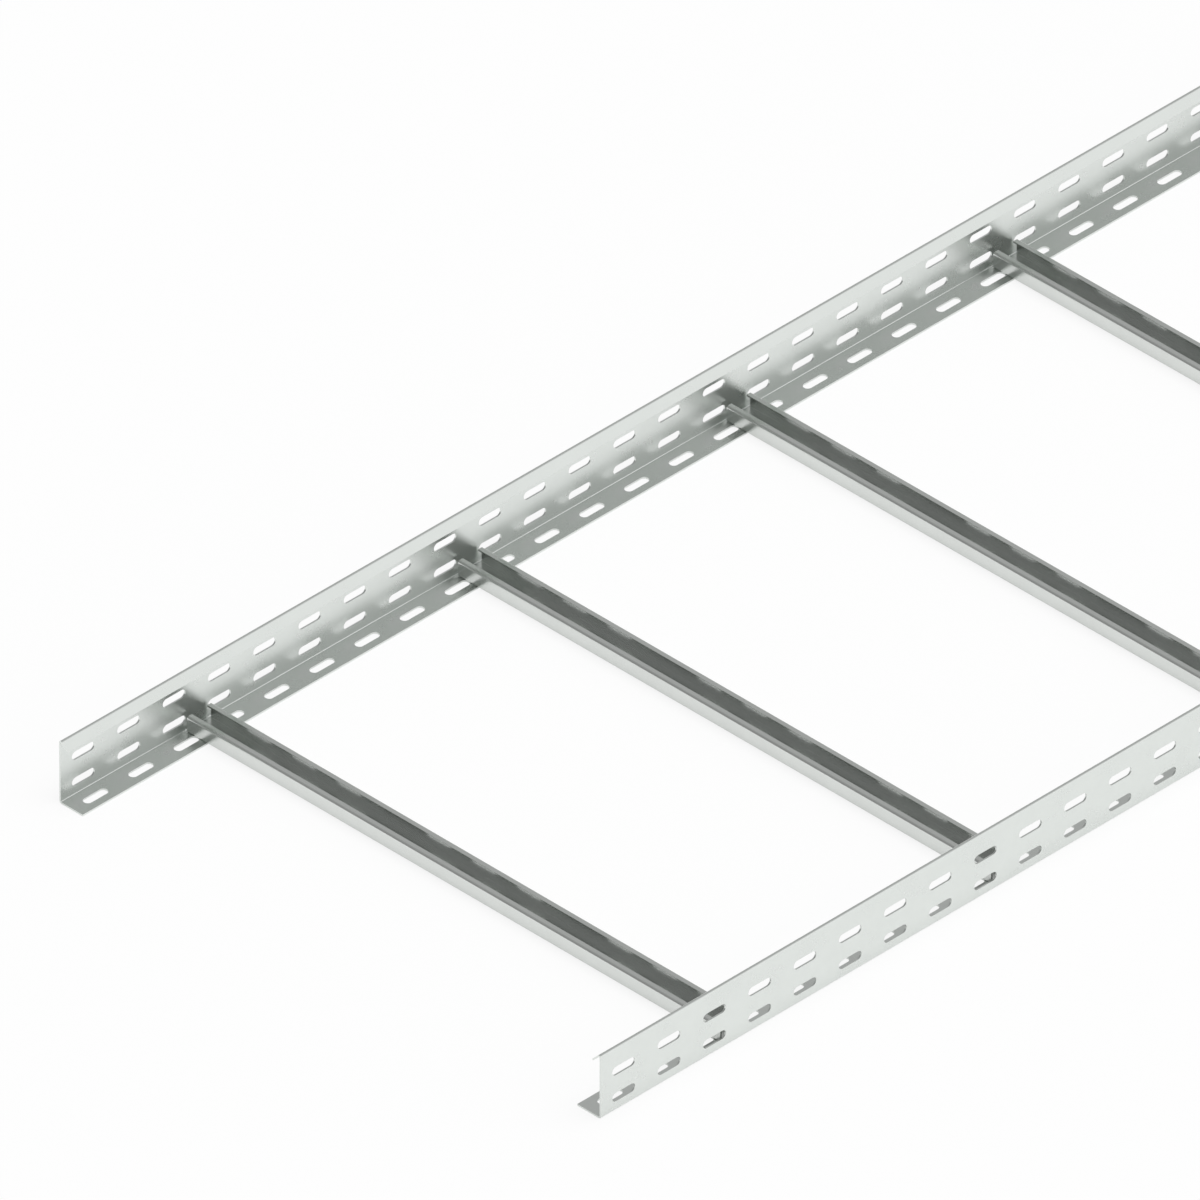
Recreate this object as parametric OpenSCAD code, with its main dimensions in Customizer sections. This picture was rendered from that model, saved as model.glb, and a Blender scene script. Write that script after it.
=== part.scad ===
// Cable ladder section: two folded, slotted side rails joined by lipped C-channel rungs.
// X runs along the ladder, Y across it, Z up. The origin is at the middle of the underside.

/* [Ladder] */
// Length of the section
ladder_length = 3000; // [900:300:6000]
// Overall width, over the outsides of the two side rails
ladder_width = 600; // [300:50:900]

/* [Side rail] */
// Height of the side rail
rail_height = 60; // [56:1:110]
// Thickness of the side rail's sheet
rail_sheet = 1.5; // [1:0.25:2]
// Width of the bottom flange, from the outside of the rail
flange_width = 26; // [24:1:40]
// Inner radius of the bend between web and bottom flange
flange_bend = 1; // [0.5:0.25:1.5]
// Inner radius of the bend between web and top lip
lip_bend = 0.5; // [0.25:0.25:1.5]
// Slope of the top lip below the horizontal, in degrees
lip_slope = 45; // [30:5:60]
// Straight length of the top lip, past its bend
lip_length = 9; // [5:1:12]

/* [Slots in the side rail] */
// Spacing of the slots along the rail
slot_pitch = 50; // [40:5:60]
// Overall length of a slot
slot_length = 25; // [15:1:30]
// Width of a slot
slot_width = 8; // [5:0.5:9]
// Height of the lower row's middle line above the underside
lower_row = 13; // [12:1:16]
// Distance from the lower row to the upper row
row_spacing = 25; // [20:1:27]
// Distance of the flange row's middle line from the outside of the rail
flange_row = 15; // [12:0.5:16]

/* [Rung] */
// Spacing of the rungs along the ladder
rung_pitch = 300; // [150:50:450]
// Width of the rung's channel
rung_width = 28; // [26:1:40]
// Height of the rung's channel
rung_height = 15; // [12:1:25]
// Thickness of the rung's sheet
rung_sheet = 1.5; // [1:0.25:2]
// Inner radius of the rung's bends
rung_bend = 0.5; // [0.25:0.25:1]
// Width of the mouth between the rung's two lips
mouth_width = 17; // [12:1:18]
// Gap between the end of a rung and the web of the rail
rung_end_gap = 3; // [2:0.5:5]

/* [Slots in the rung] */
// Spacing of the slots within one group
rung_slot_pitch = 50; // [45:1:60]
// Spacing of the groups of slots
slot_group_pitch = 200; // [190:5:220]
// Number of slots in one group
slots_in_group = 3; // [1:1:3]
// Overall length of a slot in the rung's base
rung_slot_length = 28; // [20:1:34]
// Width of a slot in the rung's base
rung_slot_width = 8; // [6:0.5:14]

/* [Hidden] */
$fn = 32;
// A cut runs this far past the faces that it opens
cut_over = 1;
// Part of a pitch that forgives rounding when whole pitches are counted
count_slack = 0.01;

rung_count = floor(ladder_length / rung_pitch + count_slack);
rung_start = -rung_pitch * (rung_count - 1) / 2;
rung_length = ladder_width - 2 * (rail_sheet + rung_end_gap);

slot_count = floor(ladder_length / slot_pitch + count_slack);
slot_start = -slot_pitch * (slot_count - 1) / 2;

group_length = rung_slot_pitch * (slots_in_group - 1) + rung_slot_length;
clear_span = ladder_width - 2 * flange_width;
group_count = 1 + floor((clear_span - group_length) / slot_group_pitch);

function rung_name(i) = str("rung_", i < 10 ? "0" : "", i);

// A strip bent round the origin: the part of a ring between two angles less than 180 degrees apart
module bend(inner, sheet, from, to) {
    outer = inner + sheet;
    reach = 2 * outer / cos((to - from) / 4);
    middle = (from + to) / 2;
    intersection() {
        difference() {
            circle(r = outer);
            circle(r = inner);
        }
        polygon([
            [0, 0],
            [reach * cos(from), reach * sin(from)],
            [reach * cos(middle), reach * sin(middle)],
            [reach * cos(to), reach * sin(to)]
        ]);
    }
}

// Section of a side rail: its outside lies on x = 0, its flange and lip point to +x
module rail_section() {
    flange_outer = flange_bend + rail_sheet;
    lip_outer = lip_bend + rail_sheet;
    // Bottom flange
    translate([flange_outer, 0])
        square([flange_width - flange_outer, rail_sheet]);
    translate([flange_outer, flange_outer])
        bend(flange_bend, rail_sheet, 180, 270);
    // Web
    translate([0, flange_outer])
        square([rail_sheet, rail_height - flange_outer - lip_outer]);
    // Lip, which leaves the bend at a right angle to the bend's last radius
    translate([lip_outer, rail_height - lip_outer]) {
        bend(lip_bend, rail_sheet, 90 - lip_slope, 180);
        rotate(90 - lip_slope)
            translate([lip_bend, -lip_length])
                square([rail_sheet, lip_length]);
    }
}

// Outline of a slot with round ends, lying along x round the origin
module slot_outline(length, width) {
    straight = length - width;
    square([straight, width], center = true);
    for (side = [-1, 1])
        translate([side * straight / 2, 0])
            circle(d = width);
}

// One row of slots along the rail, cut along +z from the origin's plane
module slot_row() {
    for (i = [0 : slot_count - 1])
        translate([slot_start + i * slot_pitch, 0, -cut_over])
            linear_extrude(rail_sheet + 2 * cut_over)
                slot_outline(slot_length, slot_width);
}

// A side rail with its outside on y = 0 and its flange pointing to +y
module side_rail() {
    difference() {
        translate([-ladder_length / 2, 0, 0])
            rotate([90, 0, 90])
                linear_extrude(ladder_length)
                    rail_section();
        translate([0, flange_row, 0])
            slot_row();
        for (height = [lower_row, lower_row + row_spacing])
            translate([0, rail_sheet, height])
                rotate([90, 0, 0])
                    slot_row();
    }
}

module side_rail_left() {
    color([0.80, 0.82, 0.80])
        translate([0, ladder_width / 2, 0])
            mirror([0, 1, 0])
                side_rail();
}

module side_rail_right() {
    color([0.80, 0.82, 0.80])
        translate([0, -ladder_width / 2, 0])
            side_rail();
}

// Rectangle with round corners, standing on the x axis and centred on x = 0
module rounded_rectangle(width, height, radius) {
    translate([-width / 2, radius])
        square([width, height - 2 * radius]);
    translate([-width / 2 + radius, 0])
        square([width - 2 * radius, height]);
    for (side = [-1, 1])
        for (level = [radius, height - radius])
            translate([side * (width / 2 - radius), level])
                circle(r = radius);
}

// Section of a rung: a channel with two lips and an open mouth on top
module rung_section() {
    difference() {
        rounded_rectangle(rung_width, rung_height, rung_bend + rung_sheet);
        translate([0, rung_sheet])
            rounded_rectangle(
                rung_width - 2 * rung_sheet,
                rung_height - 2 * rung_sheet,
                rung_bend
            );
        translate([-mouth_width / 2, rung_height / 2])
            square([mouth_width, rung_height]);
    }
}

// The slots in a rung's base, in groups spread about its middle, lying along y
module rung_slots() {
    for (group = [0 : group_count - 1])
        for (i = [0 : slots_in_group - 1])
            translate([
                0,
                (group - (group_count - 1) / 2) * slot_group_pitch
                    + (i - (slots_in_group - 1) / 2) * rung_slot_pitch,
                -cut_over
            ])
                rotate(90)
                    linear_extrude(rung_sheet + 2 * cut_over)
                        slot_outline(rung_slot_length, rung_slot_width);
}

// Rung number i, which stands on the two flanges
module rung(i) {
    color([0.74, 0.76, 0.74])
        translate([rung_start + (i - 1) * rung_pitch, 0, rail_sheet])
            difference() {
                translate([0, rung_length / 2, 0])
                    rotate([90, 0, 0])
                        linear_extrude(rung_length)
                            rung_section();
                rung_slots();
            }
}

side_rail_left();
side_rail_right();
for (i = [1 : rung_count])
    rung(i);
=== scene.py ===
# %% [markdown]
# # A cable ladder section
#
# A cable ladder carries heavy cables along a ceiling or a wall. Two side rails are folded from
# punched steel sheet, and channel-shaped rungs join them. In this lesson each of these pieces is
# made the way the factory makes it: slots are punched in a flat strip, the strip gets its
# thickness, and it is folded on a press. Geometry Nodes do all three steps.

import math

import bmesh
import bpy
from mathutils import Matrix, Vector


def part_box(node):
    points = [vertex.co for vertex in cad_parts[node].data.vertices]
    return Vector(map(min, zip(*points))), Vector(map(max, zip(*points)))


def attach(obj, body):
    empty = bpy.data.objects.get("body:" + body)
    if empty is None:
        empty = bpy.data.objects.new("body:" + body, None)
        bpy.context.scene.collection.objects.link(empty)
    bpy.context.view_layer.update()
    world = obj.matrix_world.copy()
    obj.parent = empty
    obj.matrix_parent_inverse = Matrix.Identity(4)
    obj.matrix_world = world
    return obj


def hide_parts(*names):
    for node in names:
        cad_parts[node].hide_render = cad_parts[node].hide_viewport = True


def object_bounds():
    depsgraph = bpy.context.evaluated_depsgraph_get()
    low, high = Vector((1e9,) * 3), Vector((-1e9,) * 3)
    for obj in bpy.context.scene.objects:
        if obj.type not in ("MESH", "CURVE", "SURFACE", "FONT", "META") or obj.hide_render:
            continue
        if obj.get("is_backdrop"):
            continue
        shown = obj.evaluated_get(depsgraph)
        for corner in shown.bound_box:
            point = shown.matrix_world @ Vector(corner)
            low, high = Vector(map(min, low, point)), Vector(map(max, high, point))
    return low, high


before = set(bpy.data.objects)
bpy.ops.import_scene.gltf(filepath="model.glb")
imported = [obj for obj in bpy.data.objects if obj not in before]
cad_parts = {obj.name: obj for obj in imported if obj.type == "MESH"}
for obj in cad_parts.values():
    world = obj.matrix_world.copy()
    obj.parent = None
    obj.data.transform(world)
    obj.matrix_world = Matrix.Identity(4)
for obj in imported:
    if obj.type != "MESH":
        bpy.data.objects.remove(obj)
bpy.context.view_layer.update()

# %% [markdown]
# ## Sizes
#
# The outside sizes come from the solids of the construction model, so that the pieces below
# always fit it. What a box can't tell, such as a bend or a slot, is written here in millimetres.

# %% Sizes of the side rails
mm = 0.001
rail_low, rail_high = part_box("side_rail_left")
rail_length = rail_high.x - rail_low.x
rail_height = rail_high.z - rail_low.z
flange_width = rail_high.y - rail_low.y
rail_sheet = 1.5 * mm
flange_radius = 2.5 * mm  # outer radius of the bend between flange and web
lip_radius = 2.0 * mm  # outer radius of the bend between web and lip
lip_turn = math.radians(135)  # the lip is folded past the horizontal, 45 degrees down
lip_length = 9.0 * mm
rail_slot_pitch = 50 * mm
rail_slot_length = 25 * mm
rail_slot_width = 8 * mm
lower_row = 13 * mm
upper_row = 38 * mm
flange_row = 15 * mm  # from the outside of the rail
rail_slots = round(rail_length / rail_slot_pitch)
print("each rail has", rail_slots, "slots in a row")

# %% Sizes of the rungs
rung_names = sorted(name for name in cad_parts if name.startswith("rung"))
rung_low, rung_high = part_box(rung_names[0])
rung_width = rung_high.x - rung_low.x
rung_length = rung_high.y - rung_low.y
rung_height = rung_high.z - rung_low.z
rung_sheet = 1.5 * mm
rung_radius = 2.0 * mm  # outer radius of all four bends
mouth_width = 17 * mm
rung_slot_pitch = 50 * mm
rung_slot_length = 28 * mm
rung_slot_width = 8 * mm
slots_in_group = 3
group_pitch = 200 * mm
slot_groups = 3
print(len(rung_names), "rungs, each", round(rung_length, 3), "m long")

# %% [markdown]
# ## Helpers for node trees
#
# A Geometry Nodes tree is a list of nodes and of links between them. Two small helpers keep the
# trees below readable. The first adds any node and fills or links its inputs. The second does
# the same for one step of arithmetic.


# %% Add one node
def add(tree, kind, inputs=(), **settings):
    node = tree.nodes.new(kind)
    for name, value in settings.items():
        setattr(node, name, value)
    for name, value in dict(inputs).items():
        if isinstance(value, bpy.types.NodeSocket):
            tree.links.new(value, node.inputs[name])
        else:
            node.inputs[name].default_value = value
    return node


# %% Add one step of arithmetic
def calc(tree, operation, *terms):
    return add(tree, "ShaderNodeMath", enumerate(terms), operation=operation).outputs[0]


# %% Start a tree with named inputs
def new_tree(name, **inputs):
    tree = bpy.data.node_groups.new(name, "GeometryNodeTree")
    kinds = {"geometry": "NodeSocketGeometry", "whole": "NodeSocketInt", "size": "NodeSocketFloat"}
    for title, kind in inputs.items():
        socket_name = title.replace("_", " ").capitalize()
        tree.interface.new_socket(socket_name, in_out="INPUT", socket_type=kinds[kind])
    tree.interface.new_socket("Geometry", in_out="OUTPUT", socket_type="NodeSocketGeometry")
    entry = tree.nodes.new("NodeGroupInput")
    sockets = {title: entry.outputs[place] for place, title in enumerate(inputs)}
    return tree, sockets


# %% End a tree, and use it in another one
def end_tree(tree, geometry):
    finish = tree.nodes.new("NodeGroupOutput")
    tree.links.new(geometry, finish.inputs[0])
    return tree


def use(tree, group, *values):
    node = add(tree, "GeometryNodeGroup", node_tree=group)
    for place, value in enumerate(values):
        if isinstance(value, bpy.types.NodeSocket):
            tree.links.new(value, node.inputs[place])
        else:
            node.inputs[place].default_value = value
    return node.outputs[0]


print("helpers ready")

# %% [markdown]
# ## Punching: one slot
#
# A slot is a rectangle whose short ends are half circles. Rounding the corners of a rectangle
# with a radius of half its width gives that outline, so no arc has to be drawn. The radius
# stays a hair under the half, so that two corners never meet in the same point.

# %% Tree: outline of a slot
corner_share = 0.49999  # corner radius as a share of the slot's width
corner_steps = 6
tree, size = new_tree("Slot outline", slot_length="size", slot_width="size")
rectangle = add(tree, "GeometryNodeCurvePrimitiveQuadrilateral",
                {"Width": size["slot_length"], "Height": size["slot_width"]})
corner_radius = calc(tree, "MULTIPLY", size["slot_width"], corner_share)
rounded = add(tree, "GeometryNodeFilletCurve",
              {"Curve": rectangle.outputs[0], "Radius": corner_radius, "Count": corner_steps},
              mode="POLY")
slot_outline = end_tree(tree, rounded.outputs[0])
print("slot outline:", len(tree.nodes), "nodes")

# %% [markdown]
# ## Punching: a row
#
# The punch comes down once for each slot, at an even pitch. A line of points set evenly about
# the middle carries one copy on each point. The same tree can repeat a whole group of slots,
# which the rungs need.

# %% Tree: even row about the middle
tree, size = new_tree("Even row", shape="geometry", count="whole", pitch="size", across="size")
half_span = calc(tree, "MULTIPLY", calc(tree, "SUBTRACT", size["count"], 1.0), -0.5)
start = add(tree, "ShaderNodeCombineXYZ",
            {0: calc(tree, "MULTIPLY", half_span, size["pitch"]), 1: size["across"]})
step = add(tree, "ShaderNodeCombineXYZ", {0: size["pitch"]})
points = add(tree, "GeometryNodeMeshLine",
             {"Count": size["count"], "Start Location": start.outputs[0],
              "Offset": step.outputs[0]})
copies = add(tree, "GeometryNodeInstanceOnPoints",
             {"Points": points.outputs[0], "Instance": size["shape"]})
real = add(tree, "GeometryNodeRealizeInstances", {"Geometry": copies.outputs[0]})
even_row = end_tree(tree, real.outputs[0])
print("even row:", len(tree.nodes), "nodes")

# %% [markdown]
# ## The flat strip
#
# A strip that has slots is the area between its own outline and the outlines of the slots.
# Fill Curve finds that area in one step, where cutting every slot with a boolean would be slow
# and would leave ragged faces. A strip that will be rolled into a bend has no slots, but it
# needs a few lines along it to bend at, so it is a plain grid.

# %% Tree: strip with slots
tree, size = new_tree("Slotted strip", slots="geometry", length="size", near_edge="size",
                      far_edge="size")
middle = calc(tree, "MULTIPLY", calc(tree, "ADD", size["near_edge"], size["far_edge"]), 0.5)
outline = add(tree, "GeometryNodeCurvePrimitiveQuadrilateral",
              {"Width": size["length"],
               "Height": calc(tree, "SUBTRACT", size["far_edge"], size["near_edge"])})
place = add(tree, "ShaderNodeCombineXYZ", {1: middle})
placed = add(tree, "GeometryNodeTransform",
             {"Geometry": outline.outputs[0], "Translation": place.outputs[0]})
both = add(tree, "GeometryNodeJoinGeometry")
tree.links.new(placed.outputs[0], both.inputs[0])
tree.links.new(size["slots"], both.inputs[0])
area = add(tree, "GeometryNodeFillCurve", {"Curve": both.outputs[0]})
slotted_strip = end_tree(tree, area.outputs[0])
print("slotted strip:", len(tree.nodes), "nodes")

# %% Tree: strip to bend
tree, size = new_tree("Plain strip", length="size", near_edge="size", far_edge="size",
                      steps="whole")
middle = calc(tree, "MULTIPLY", calc(tree, "ADD", size["near_edge"], size["far_edge"]), 0.5)
grid = add(tree, "GeometryNodeMeshGrid",
           {"Size X": size["length"],
            "Size Y": calc(tree, "SUBTRACT", size["far_edge"], size["near_edge"]),
            "Vertices X": 2, "Vertices Y": calc(tree, "ADD", size["steps"], 1.0)})
place = add(tree, "ShaderNodeCombineXYZ", {1: middle})
placed = add(tree, "GeometryNodeTransform",
             {"Geometry": grid.outputs[0], "Translation": place.outputs[0]})
plain_strip = end_tree(tree, placed.outputs[0])
print("plain strip:", len(tree.nodes), "nodes")

# %% [markdown]
# ## Thickness
#
# The flat outline becomes sheet metal: its faces are pushed up by the thickness of the sheet,
# which also makes the walls of the slots, and a turned copy closes the underside. This is done
# while the sheet is flat, because then every wall stands square to it.

# %% Tree: thickness of the sheet
weld_distance = 0.002 * mm  # points closer than this become one
tree, size = new_tree("Sheet thickness", outline="geometry", sheet="size")
up = add(tree, "ShaderNodeCombineXYZ", {2: size["sheet"]})
welded = add(tree, "GeometryNodeMergeByDistance",
             {"Geometry": size["outline"], "Distance": weld_distance})
raised = add(tree, "GeometryNodeExtrudeMesh",
             {"Mesh": welded.outputs[0], "Offset": up.outputs[0], "Offset Scale": 1.0,
              "Individual": False}, mode="FACES")
underside = add(tree, "GeometryNodeFlipFaces", {"Mesh": welded.outputs[0]})
both = add(tree, "GeometryNodeJoinGeometry")
tree.links.new(raised.outputs[0], both.inputs[0])
tree.links.new(underside.outputs[0], both.inputs[0])
closed = add(tree, "GeometryNodeMergeByDistance",
             {"Geometry": both.outputs[0], "Distance": weld_distance})
sheet_thickness = end_tree(tree, closed.outputs[0])
print("sheet thickness:", len(tree.nodes), "nodes")

# %% [markdown]
# ## Folding
#
# A press folds the sheet along a line. Up to that line nothing moves. Past it the sheet wraps
# round a roller until the full angle is reached, and what lies beyond swings along as one
# straight piece. With the angle held between nothing and the full turn, one formula covers all
# three stretches:
#
# - turned so far = distance past the line / radius, held between 0 and the full turn
# - left over = distance past the line - radius x turned so far
#
# The outside of the sheet lies at height 0, and the roller's middle lies a radius above it.

# %% Tree: one fold
tree, size = new_tree("Fold", sheet="geometry", fold_line="size", turn="size", radius="size",
                      side="size")
here = add(tree, "ShaderNodeSeparateXYZ",
           {0: add(tree, "GeometryNodeInputPosition").outputs[0]}).outputs
across = calc(tree, "MULTIPLY", here[1], size["side"])
past_line = calc(tree, "SUBTRACT", across, size["fold_line"])
rolled = calc(tree, "DIVIDE", past_line, size["radius"])
turned = calc(tree, "MINIMUM", calc(tree, "MAXIMUM", rolled, 0.0), size["turn"])
left_over = calc(tree, "SUBTRACT", past_line, calc(tree, "MULTIPLY", size["radius"], turned))
arm = calc(tree, "SUBTRACT", size["radius"], here[2])
sine, cosine = calc(tree, "SINE", turned), calc(tree, "COSINE", turned)
reach = calc(tree, "ADD", calc(tree, "MULTIPLY", arm, sine),
             calc(tree, "MULTIPLY", left_over, cosine))
rise = calc(tree, "SUBTRACT", calc(tree, "MULTIPLY", left_over, sine),
            calc(tree, "MULTIPLY", arm, cosine))
new_across = calc(tree, "MULTIPLY", calc(tree, "ADD", size["fold_line"], reach), size["side"])
new_place = add(tree, "ShaderNodeCombineXYZ",
                {0: here[0], 1: new_across, 2: calc(tree, "ADD", size["radius"], rise)})
folded = add(tree, "GeometryNodeSetPosition",
             {"Geometry": size["sheet"], "Position": new_place.outputs[0]})
fold = end_tree(tree, folded.outputs[0])
print("fold:", len(tree.nodes), "nodes")

# %% [markdown]
# ## The steel
#
# The sheet is galvanised before it is punched. Zinc gives a bright, slightly green-grey metal
# that reflects softly, with faint cloudy patches where the coating froze, and very fine lines
# from rolling. All of this comes from noise on object coordinates, which needs no image. The
# patches change the tone and the roughness together, as they do on the real coating, and both
# only by a hundredth or two. The rolling lines run along the strip that the piece is cut from.


# %% Material of a galvanised sheet
def galvanised(name, colour, roughness, rolling_scale):
    material = bpy.data.materials.new(name)
    material.use_nodes = True
    tree = material.node_tree
    shader = tree.nodes["Principled BSDF"]
    shader.inputs["Metallic"].default_value = 1.0
    spot = add(tree, "ShaderNodeTexCoord").outputs["Object"]
    clouds = add(tree, "ShaderNodeTexNoise",
                 {"Vector": spot, "Scale": 30.0, "Detail": 2.0, "Roughness": 0.5})
    spangle = add(tree, "ShaderNodeTexVoronoi", {"Vector": spot, "Scale": 120.0})
    stretched = add(tree, "ShaderNodeMapping", {"Vector": spot, "Scale": rolling_scale})
    rolling = add(tree, "ShaderNodeTexNoise",
                  {"Vector": stretched.outputs[0], "Scale": 900.0, "Detail": 2.0})
    patch = calc(tree, "ADD", calc(tree, "MULTIPLY", clouds.outputs[0], 0.8),
                 calc(tree, "MULTIPLY", spangle.outputs["Distance"], 0.2))

    def follow_patch(lowest, highest):
        return add(tree, "ShaderNodeMapRange",
                   {"Value": patch, "From Min": 0.35, "From Max": 0.65,
                    "To Min": lowest, "To Max": highest}).outputs[0]

    tinted = add(tree, "ShaderNodeVectorMath", {0: colour, "Scale": follow_patch(0.98, 1.01)},
                 operation="SCALE")
    tree.links.new(tinted.outputs[0], shader.inputs["Base Color"])
    tree.links.new(follow_patch(roughness - 0.01, roughness + 0.01), shader.inputs["Roughness"])
    relief = add(tree, "ShaderNodeBump",
                 {"Height": rolling.outputs[0], "Strength": 0.03, "Distance": 0.05 * mm})
    tree.links.new(relief.outputs[0], shader.inputs["Normal"])
    return material


along_x = (0.02, 1.0, 1.0)  # noise drawn out fifty times along X
along_y = (1.0, 0.02, 1.0)
rail_steel = galvanised("rail_steel", (0.784, 0.815, 0.789), 0.28, along_x)
rung_steel = galvanised("rung_steel", (0.749, 0.773, 0.750), 0.25, along_y)
print("materials:", rail_steel.name, rung_steel.name)

# %% [markdown]
# ## From a tree to a piece
#
# A tree runs as a modifier on an empty object. Its result is then kept as a plain mesh, and
# only that mesh becomes a piece of the ladder. Faces that belong to a bend are shaded smooth,
# flat ones stay flat, and the edge between the two is kept sharp, so that the reflections in
# the flats aren't dragged round the bends.


# %% Run a tree and keep its mesh
flat_limit = 0.99995  # cosine of the small angle within which a face counts as flat


def make_piece(name, tree, values, material, flats):
    maker = bpy.data.objects.new(name + "_maker", bpy.data.meshes.new(name + "_maker"))
    bpy.context.scene.collection.objects.link(maker)
    modifier = maker.modifiers.new("Tree", "NODES")
    modifier.node_group = tree
    for item in tree.interface.items_tree:
        if item.in_out == "INPUT" and item.name in values:
            modifier[item.identifier] = values[item.name]
    ready = maker.evaluated_get(bpy.context.evaluated_depsgraph_get())
    mesh = bpy.data.meshes.new_from_object(ready)
    bpy.data.objects.remove(maker)
    shell = bmesh.new()
    shell.from_mesh(mesh)
    bmesh.ops.recalc_face_normals(shell, faces=shell.faces)
    for face in shell.faces:
        face.smooth = all(abs(face.normal.dot(Vector(flat))) < flat_limit for flat in flats)
    for edge in shell.edges:
        edge.smooth = all(face.smooth for face in edge.link_faces)
    open_edges = sum(1 for edge in shell.edges if len(edge.link_faces) != 2)
    shell.to_mesh(mesh)
    shell.free()
    mesh.name = name
    mesh.materials.clear()
    mesh.materials.append(material)
    piece = bpy.data.objects.new(name, mesh)
    bpy.context.scene.collection.objects.link(piece)
    print(name, "has", len(mesh.polygons), "faces and", open_edges, "open edges")
    return piece


# %% [markdown]
# ## Side rails
#
# The blank of a rail is five strips side by side: flange, bend, web, bend and lip. The lip is
# folded first, while the sheet is still flat and easy to hold, and the flange after it. Both
# rails come from the same tree: turning one half round makes the other.

# %% Tree: side rail
tree, size = new_tree(
    "Side rail", length="size", height="size", flange_width="size", sheet="size",
    flange_radius="size", lip_radius="size", lip_turn="size", lip_length="size",
    slot_length="size", slot_width="size", slot_pitch="size", slot_count="whole",
    lower_row="size", upper_row="size", flange_row="size", outside="size", half_turns="size")
flange_end = calc(tree, "SUBTRACT", size["flange_width"], size["flange_radius"])
web_start = calc(tree, "ADD", flange_end,
                 calc(tree, "MULTIPLY", size["flange_radius"], math.pi / 2))
web_flat = calc(tree, "SUBTRACT", calc(tree, "SUBTRACT", size["height"], size["flange_radius"]),
                size["lip_radius"])
web_end = calc(tree, "ADD", web_start, web_flat)
lip_start = calc(tree, "ADD", web_end, calc(tree, "MULTIPLY", size["lip_radius"], size["lip_turn"]))
lip_end = calc(tree, "ADD", lip_start, size["lip_length"])
web_foot = calc(tree, "SUBTRACT", web_start, size["flange_radius"])
slot = use(tree, slot_outline, size["slot_length"], size["slot_width"])
rows = [
    use(tree, even_row, slot, size["slot_count"], size["slot_pitch"], across)
    for across in (
        calc(tree, "SUBTRACT", size["flange_width"], size["flange_row"]),
        calc(tree, "ADD", web_foot, size["lower_row"]),
        calc(tree, "ADD", web_foot, size["upper_row"]),
    )
]
web_rows = add(tree, "GeometryNodeJoinGeometry")
for row in rows[1:]:
    tree.links.new(row, web_rows.inputs[0])
flange_steps, lip_steps = 10, 15  # lines to bend at, one for each 9 degrees
strips = [
    use(tree, slotted_strip, rows[0], size["length"], 0.0, flange_end),
    use(tree, plain_strip, size["length"], flange_end, web_start, flange_steps),
    use(tree, slotted_strip, web_rows.outputs[0], size["length"], web_start, web_end),
    use(tree, plain_strip, size["length"], web_end, lip_start, lip_steps),
    use(tree, plain_strip, size["length"], lip_start, lip_end, 1),
]
blank = add(tree, "GeometryNodeJoinGeometry")
for strip in strips:
    tree.links.new(strip, blank.inputs[0])
solid = use(tree, sheet_thickness, blank.outputs[0], size["sheet"])
solid = use(tree, fold, solid, web_end, size["lip_turn"], size["lip_radius"], 1.0)
solid = use(tree, fold, solid, flange_end, math.pi / 2, size["flange_radius"], 1.0)
outward = add(tree, "ShaderNodeCombineXYZ",
              {1: calc(tree, "SUBTRACT", size["outside"], size["flange_width"])})
moved = add(tree, "GeometryNodeTransform",
            {"Geometry": solid, "Translation": outward.outputs[0]})
half_round = add(tree, "ShaderNodeCombineXYZ",
                 {2: calc(tree, "MULTIPLY", size["half_turns"], math.pi)})
turned_rail = add(tree, "GeometryNodeTransform", {"Geometry": moved.outputs[0]})
tree.links.new(half_round.outputs[0], turned_rail.inputs["Rotation"])
painted = add(tree, "GeometryNodeSetMaterial",
              {"Geometry": turned_rail.outputs[0], "Material": rail_steel})
side_rail = end_tree(tree, painted.outputs[0])
print("side rail:", len(tree.nodes), "nodes")

# %% Make the two side rails
rail_values = {
    "Length": rail_length, "Height": rail_height, "Flange width": flange_width,
    "Sheet": rail_sheet, "Flange radius": flange_radius, "Lip radius": lip_radius,
    "Lip turn": lip_turn, "Lip length": lip_length, "Slot length": rail_slot_length,
    "Slot width": rail_slot_width, "Slot pitch": rail_slot_pitch, "Slot count": rail_slots,
    "Lower row": lower_row, "Upper row": upper_row, "Flange row": flange_row,
    "Outside": rail_high.y,
}
slant = math.sqrt(0.5)  # the inclined lip faces this much sideways and this much upwards
rail_flats = [(1, 0, 0), (0, 1, 0), (0, 0, 1), (0, slant, slant), (0, slant, -slant)]
for name, half_turns in (("side_rail_left", 0.0), ("side_rail_right", 1.0)):
    values = dict(rail_values, **{"Half turns": half_turns})
    rail = make_piece(name.replace("side_rail", "folded_rail"), side_rail, values, rail_steel,
                      rail_flats)
    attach(rail, "root")
    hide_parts(name)

# %% [markdown]
# ## Rungs
#
# A rung is a channel with two lips, open at the top. Its base has three groups of three slots,
# for bolts and cable ties. The blank is nine strips, folded twice on each side: the lips first,
# then the walls. The same fold works on the other side when it reads the distance with its sign
# turned.

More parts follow.
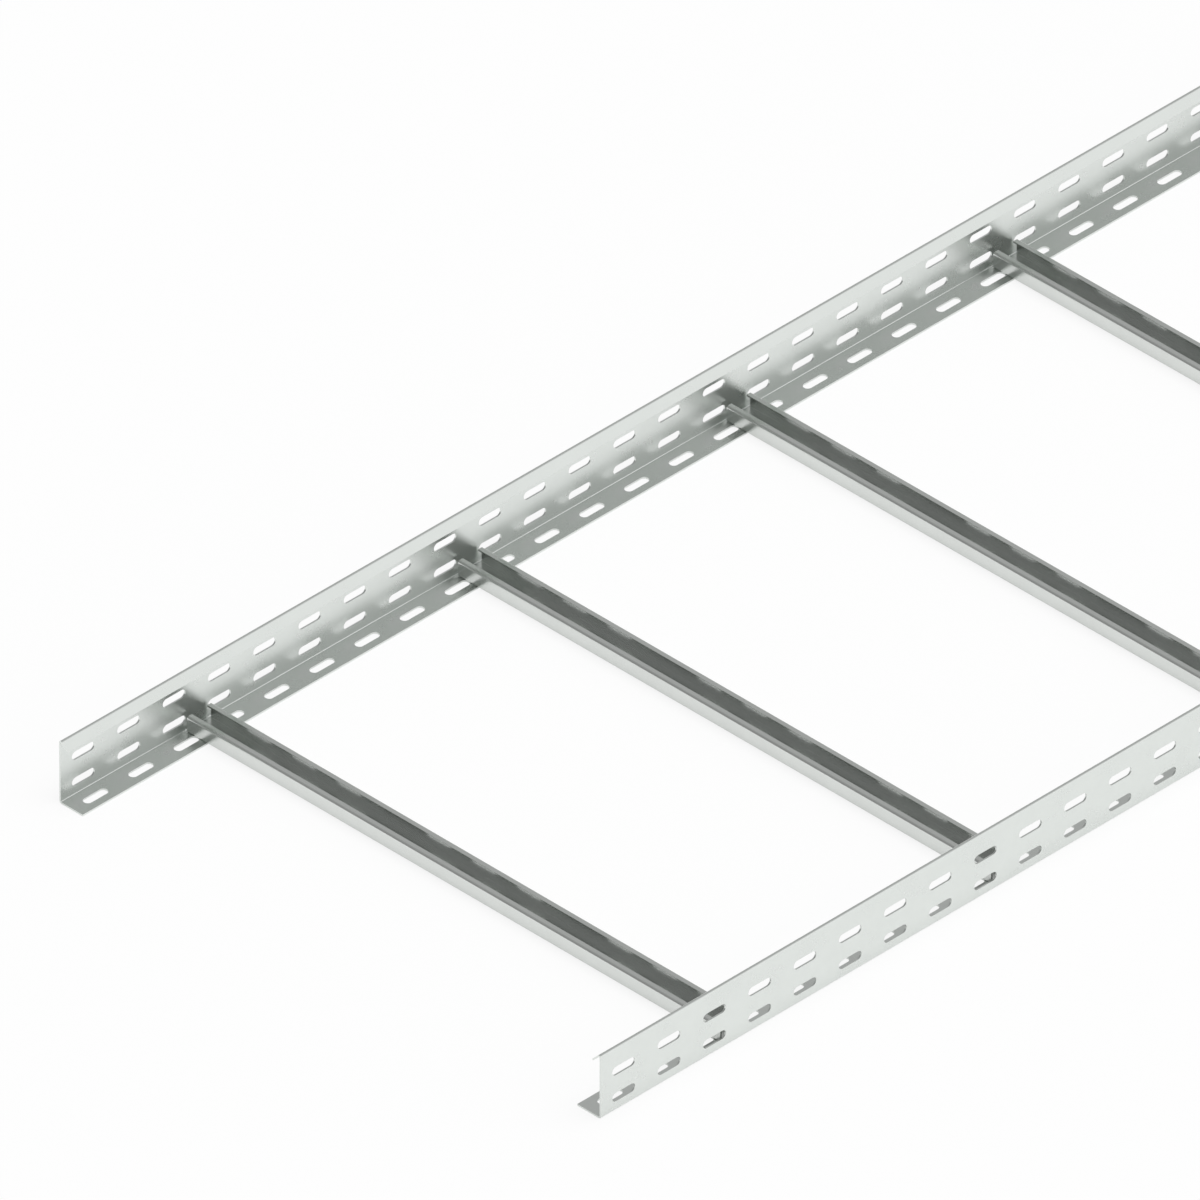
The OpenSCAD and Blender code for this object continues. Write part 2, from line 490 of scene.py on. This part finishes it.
# %% Tree: rung
tree, size = new_tree(
    "Rung", length="size", width="size", height="size", sheet="size", radius="size",
    mouth="size", slot_length="size", slot_width="size", slot_pitch="size",
    slots_in_group="whole", group_pitch="size", groups="whole", along="size", rest_height="size")
quarter = calc(tree, "MULTIPLY", size["radius"], math.pi / 2)
base_end = calc(tree, "SUBTRACT", calc(tree, "MULTIPLY", size["width"], 0.5), size["radius"])
wall_start = calc(tree, "ADD", base_end, quarter)
wall_flat = calc(tree, "SUBTRACT", size["height"], calc(tree, "MULTIPLY", size["radius"], 2.0))
wall_end = calc(tree, "ADD", wall_start, wall_flat)
lip_start = calc(tree, "ADD", wall_end, quarter)
lip_flat = calc(tree, "SUBTRACT", base_end, calc(tree, "MULTIPLY", size["mouth"], 0.5))
lip_end = calc(tree, "ADD", lip_start, lip_flat)
slot = use(tree, slot_outline, size["slot_length"], size["slot_width"])
group = use(tree, even_row, slot, size["slots_in_group"], size["slot_pitch"], 0.0)
all_slots = use(tree, even_row, group, size["groups"], size["group_pitch"], 0.0)
minus_base = calc(tree, "MULTIPLY", base_end, -1.0)
blank = add(tree, "GeometryNodeJoinGeometry")
base = use(tree, slotted_strip, all_slots, size["length"], minus_base, base_end)
tree.links.new(base, blank.inputs[0])
bend_steps = 8
for side in (1.0, -1.0):
    for inner, outer, steps in ((base_end, wall_start, bend_steps), (wall_start, wall_end, 1),
                                (wall_end, lip_start, bend_steps), (lip_start, lip_end, 1)):
        edges = [calc(tree, "MULTIPLY", edge, side) for edge in (inner, outer)]
        low, high = edges if side > 0 else edges[::-1]
        tree.links.new(use(tree, plain_strip, size["length"], low, high, steps), blank.inputs[0])
solid = use(tree, sheet_thickness, blank.outputs[0], size["sheet"])
for side in (1.0, -1.0):
    solid = use(tree, fold, solid, wall_end, math.pi / 2, size["radius"], side)
    solid = use(tree, fold, solid, base_end, math.pi / 2, size["radius"], side)
place = add(tree, "ShaderNodeCombineXYZ", {0: size["along"], 2: size["rest_height"]})
crosswise = add(tree, "GeometryNodeTransform",
                {"Geometry": solid, "Translation": place.outputs[0],
                 "Rotation": (0.0, 0.0, math.pi / 2)})
painted = add(tree, "GeometryNodeSetMaterial",
              {"Geometry": crosswise.outputs[0], "Material": rung_steel})
rung_tree = end_tree(tree, painted.outputs[0])
print("rung:", len(tree.nodes), "nodes")

# %% Make the rungs
rung_values = {
    "Length": rung_length, "Width": rung_width, "Height": rung_height, "Sheet": rung_sheet,
    "Radius": rung_radius, "Mouth": mouth_width, "Slot length": rung_slot_length,
    "Slot width": rung_slot_width, "Slot pitch": rung_slot_pitch,
    "Slots in group": slots_in_group, "Group pitch": group_pitch, "Groups": slot_groups,
    "Rest height": rung_low.z,
}
rung_flats = [(1, 0, 0), (0, 1, 0), (0, 0, 1)]
for name in rung_names:
    low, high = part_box(name)
    values = dict(rung_values, Along=(low.x + high.x) / 2)
    rung = make_piece(name.replace("rung", "channel_rung"), rung_tree, values, rung_steel,
                      rung_flats)
    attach(rung, "root")
    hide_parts(name)

# %% [markdown]
# ## Floor
#
# The ladder lies on a wide pale floor. A plain matt floor would look grey in this soft light, so
# part of what the camera sees of it is plain white, and a smaller part of what the metal
# mirrors. The rest is lit as usual, which keeps the soft shadow of the ladder.

# %% Floor
floor_mesh = bpy.data.meshes.new("studio_floor")
reach = 60.0
below = -0.3 * mm  # just under the ladder, so that the two never touch
floor_mesh.from_pydata(
    [(-reach, -reach, below), (reach, -reach, below), (reach, reach, below),
     (-reach, reach, below)], [], [(0, 1, 2, 3)])
floor = bpy.data.objects.new("studio_floor", floor_mesh)
bpy.context.scene.collection.objects.link(floor)
pale = bpy.data.materials.new("pale_floor")
pale.use_nodes = True
tree = pale.node_tree
matt = tree.nodes["Principled BSDF"]
matt.inputs["Base Color"].default_value = (0.98, 0.98, 0.98, 1.0)
matt.inputs["Roughness"].default_value = 1.0
matt.inputs["Specular IOR Level"].default_value = 0.0
light_path = add(tree, "ShaderNodeLightPath")
white_seen = 0.85  # share of plain white in what the camera sees
white_mirrored = 0.38  # share of plain white in what the metal mirrors
seen = calc(tree, "MULTIPLY", light_path.outputs["Is Camera Ray"], white_seen)
mirrored = calc(tree, "MULTIPLY", light_path.outputs["Is Glossy Ray"], white_mirrored)
white = add(tree, "ShaderNodeEmission", {"Color": (1.0, 1.0, 1.0, 1.0), "Strength": 1.0})
blend = add(tree, "ShaderNodeMixShader",
            {0: calc(tree, "ADD", seen, mirrored), 1: matt.outputs[0], 2: white.outputs[0]})
tree.links.new(blend.outputs[0], tree.nodes["Material Output"].inputs["Surface"])
floor_mesh.materials.append(pale)
floor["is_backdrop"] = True
print("floor ready")

# %% [markdown]
# ## Light
#
# Bright metal shows what stands round it more than what shines on it, so the surroundings are
# the main light. They are bright on one side, where a studio would put up a big white screen,
# and a middle grey on the other side, which is what gives the tops of the rungs their darker
# tone. Inside a channel or a corner, light goes from one face to the next before it comes out.
# Such light finds a darker studio, so that the corners stay soft and dark.

# %% Surroundings
# place: 0 is straight away from the white screen, 1 is straight towards it
screen_levels = ((0.0, 0.30), (0.30, 0.34), (0.5, 0.46), (0.76, 0.50), (0.90, 1.0))
world = bpy.data.worlds.new("studio")
bpy.context.scene.world = world
world.use_nodes = True
tree = world.node_tree
tree.nodes.clear()
direction = add(tree, "ShaderNodeTexCoord").outputs["Generated"]
towards_screen = add(tree, "ShaderNodeVectorMath", {0: direction, 1: (slant, -slant, 0.0)},
                     operation="DOT_PRODUCT").outputs["Value"]
shade = add(tree, "ShaderNodeValToRGB", {0: add(
    tree, "ShaderNodeMapRange", {"Value": towards_screen, "From Min": -1.0, "From Max": 1.0}
).outputs[0]})
stops = shade.color_ramp
for place, level in screen_levels:
    stop = stops.elements[0] if place == 0.0 else stops.elements.new(place)
    stop.position = place
    stop.color = (level, level, level, 1.0)
stops.elements[-1].color = (1.0, 1.0, 1.0, 1.0)
light_path = add(tree, "ShaderNodeLightPath")
mirrored_twice = calc(tree, "GREATER_THAN", light_path.outputs["Glossy Depth"], 1.5)
half_way = calc(tree, "MULTIPLY", mirrored_twice, 0.5)
dark_grey = (0.2, 0.2, 0.2, 1.0)
dimmed = add(tree, "ShaderNodeMixRGB", {0: half_way, 1: shade.outputs[0], 2: dark_grey})
around = add(tree, "ShaderNodeBackground", {"Color": dimmed.outputs[0], "Strength": 1.0})
plain_white = add(tree, "ShaderNodeBackground", {"Color": (1.0, 1.0, 1.0, 1.0), "Strength": 1.0})
camera_ray = light_path.outputs["Is Camera Ray"]
chosen = add(tree, "ShaderNodeMixShader",
             {0: camera_ray, 1: around.outputs[0], 2: plain_white.outputs[0]})
add(tree, "ShaderNodeOutputWorld", {"Surface": chosen.outputs[0]})
print("surroundings ready")

# %% [markdown]
# ## Lamp
#
# A soft lamp from above lights the floor and lays the ladder's shadow on it. It is hidden from
# reflections, because its mirror image would burn a white line into every bend.

# %% Lamp from above
lamp_data = bpy.data.lights.new("overhead_lamp", "SUN")
lamp_data.energy = 1.5
lamp_data.angle = math.radians(50)  # a wide source, for a soft shadow
lamp = bpy.data.objects.new("overhead_lamp", lamp_data)
bpy.context.scene.collection.objects.link(lamp)
lamp.rotation_euler = (math.radians(8), math.radians(8), 0.0)
lamp.visible_glossy = False
print("lamp ready")

# %% [markdown]
# ## Camera
#
# Catalogue pictures of long stock are drawn with parallel lines, from a corner and from above.
# A very long lens, far away, gives nearly the same and still lets the other views frame
# themselves. It looks equally along all three axes, which is what makes the view isometric. Only
# one end of the ladder is in the picture, so that the slots can be seen.

# %% Camera
camera_data = bpy.data.cameras.new("camera")
camera = bpy.data.objects.new("camera", camera_data)
bpy.context.scene.collection.objects.link(camera)
camera_data.lens = 1700.0
camera_data.sensor_width = 36.0
view_width = 0.945  # metres across the picture, at the aim
aim = Vector((rail_low.x + 0.494, rail_high.y - 0.105, 0.0))
look = Vector((1.0, 1.0, -1.0)).normalized()
distance = view_width * camera_data.lens / camera_data.sensor_width
camera.location = aim - look * distance
camera.rotation_mode = "QUATERNION"
camera.rotation_quaternion = look.to_track_quat("-Z", "Y")
camera_data.clip_start = 1.0
camera_data.clip_end = 200.0
bpy.context.scene.camera = camera
bpy.context.scene.view_settings.view_transform = "Standard"
print("camera", round(distance, 2), "m away")

# %% Check the size and finish
low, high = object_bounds()
print("visual model", [round(v, 4) for v in high - low])
